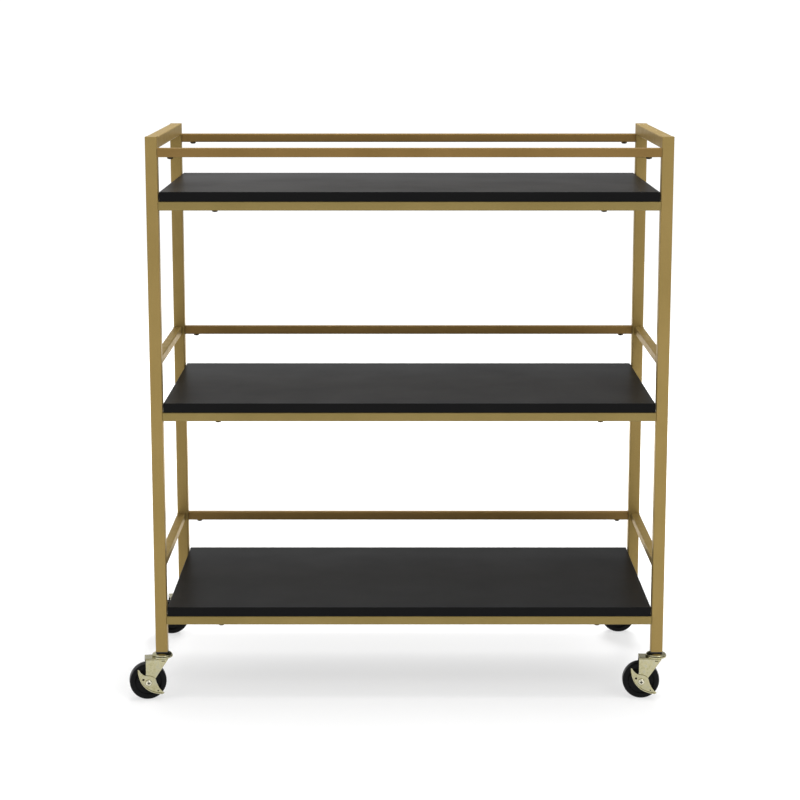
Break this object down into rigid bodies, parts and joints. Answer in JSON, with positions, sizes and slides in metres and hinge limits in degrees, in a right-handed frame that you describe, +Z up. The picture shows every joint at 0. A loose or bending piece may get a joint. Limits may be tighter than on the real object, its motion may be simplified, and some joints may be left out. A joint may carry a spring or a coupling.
{
  "type": "bar cart",
  "caption": "Tall open bar cart: square tube end frames, three boards, guard rails at the rear and ends, and swivel casters with brakes at the front.",
  "frame": {"origin": "on the floor, under the centre of the bounding box of the cart with its casters trailing to the left", "axes": "+Z up, +X to the right along the shelves, front towards -Y"},
  "size_m": [0.8762, 0.3986, 0.913],
  "materials": {
    "frame": "satin antique gold paint",
    "board": "satin black lacquer on fibreboard",
    "plated": "pale yellow zinc plate",
    "screw": "gold plate",
    "wheel": "moulded black",
    "insert": "moulded black"
  },
  "bodies": {
    "frame": {"post_front_left": "frame", "post_front_right": "frame", "post_rear_left": "frame", "post_rear_right": "frame", "top_bar_left": "frame", "top_bar_right": "frame", "side_guard_low_left": "frame", "side_guard_low_right": "frame", "side_guard_mid_left": "frame", "side_guard_mid_right": "frame", "shelf_rail_front_low": "frame", "shelf_rail_front_mid": "frame", "shelf_rail_front_top": "frame", "shelf_rail_rear_low": "frame", "shelf_rail_rear_mid": "frame", "shelf_rail_rear_top": "frame", "guard_rail_front_top": "frame", "guard_rail_rear_low": "frame", "guard_rail_rear_mid": "frame", "guard_rail_rear_top": "frame", "board_low": "board", "board_mid": "board", "board_top": "board", "guard_screw_front_top_left": "screw", "guard_screw_front_top_right": "screw", "guard_screw_rear_low_left": "screw", "guard_screw_rear_low_right": "screw", "guard_screw_rear_mid_left": "screw", "guard_screw_rear_mid_right": "screw", "guard_screw_rear_top_left": "screw", "guard_screw_rear_top_right": "screw", "insert_front_left": "insert", "insert_front_right": "insert", "insert_rear_left": "insert", "insert_rear_right": "insert", "caster_stem_front_left": "plated", "caster_stem_front_right": "plated", "caster_stem_rear_left": "plated", "caster_stem_rear_right": "plated"},
    "swivel_front_left": {"fork_front_left": "plated", "axle_front_left": "plated", "axle_nut_front_left": "plated"},
    "wheel_front_left": {"wheel_front_left": "wheel"},
    "brake_front_left": {"brake_lever_front_left": "plated"},
    "swivel_front_right": {"fork_front_right": "plated", "axle_front_right": "plated", "axle_nut_front_right": "plated"},
    "wheel_front_right": {"wheel_front_right": "wheel"},
    "brake_front_right": {"brake_lever_front_right": "plated"},
    "swivel_rear_left": {"fork_rear_left": "plated", "axle_rear_left": "plated", "axle_nut_rear_left": "plated"},
    "wheel_rear_left": {"wheel_rear_left": "wheel"},
    "swivel_rear_right": {"fork_rear_right": "plated", "axle_rear_right": "plated", "axle_nut_rear_right": "plated"},
    "wheel_rear_right": {"wheel_rear_right": "wheel"}
  },
  "joints": [
    {"name": "swivel_front_left", "type": "hinge", "parent": "frame", "child": "swivel_front_left", "pos_m": [-0.384, -0.174, 0.07], "axis": [0, 0, 1], "continuous": true},
    {"name": "roll_front_left", "type": "hinge", "parent": "swivel_front_left", "child": "wheel_front_left", "pos_m": [-0.40756, -0.17858, 0.03], "axis": [-0.1908, 0.9816, 0], "continuous": true},
    {"name": "brake_front_left", "type": "hinge", "parent": "swivel_front_left", "child": "brake_front_left", "pos_m": [-0.40756, -0.17858, 0.03], "axis": [-0.1908, 0.9816, 0], "range_deg": [0, 14]},
    {"name": "swivel_front_right", "type": "hinge", "parent": "frame", "child": "swivel_front_right", "pos_m": [0.421, -0.174, 0.07], "axis": [0, 0, 1], "continuous": true},
    {"name": "roll_front_right", "type": "hinge", "parent": "swivel_front_right", "child": "wheel_front_right", "pos_m": [0.39703, -0.17274, 0.03], "axis": [0.0523, 0.9986, 0], "continuous": true},
    {"name": "brake_front_right", "type": "hinge", "parent": "swivel_front_right", "child": "brake_front_right", "pos_m": [0.39703, -0.17274, 0.03], "axis": [0.0523, 0.9986, 0], "range_deg": [0, 14]},
    {"name": "swivel_rear_left", "type": "hinge", "parent": "frame", "child": "swivel_rear_left", "pos_m": [-0.384, 0.175, 0.07], "axis": [0, 0, 1], "continuous": true},
    {"name": "roll_rear_left", "type": "hinge", "parent": "swivel_rear_left", "child": "wheel_rear_left", "pos_m": [-0.40729, 0.16919, 0.03], "axis": [-0.2419, 0.9703, 0], "continuous": true},
    {"name": "swivel_rear_right", "type": "hinge", "parent": "frame", "child": "swivel_rear_right", "pos_m": [0.421, 0.175, 0.07], "axis": [0, 0, 1], "continuous": true},
    {"name": "roll_rear_right", "type": "hinge", "parent": "swivel_rear_right", "child": "wheel_rear_right", "pos_m": [0.39752, 0.17999, 0.03], "axis": [0.2079, 0.9781, 0], "continuous": true}
  ]
}
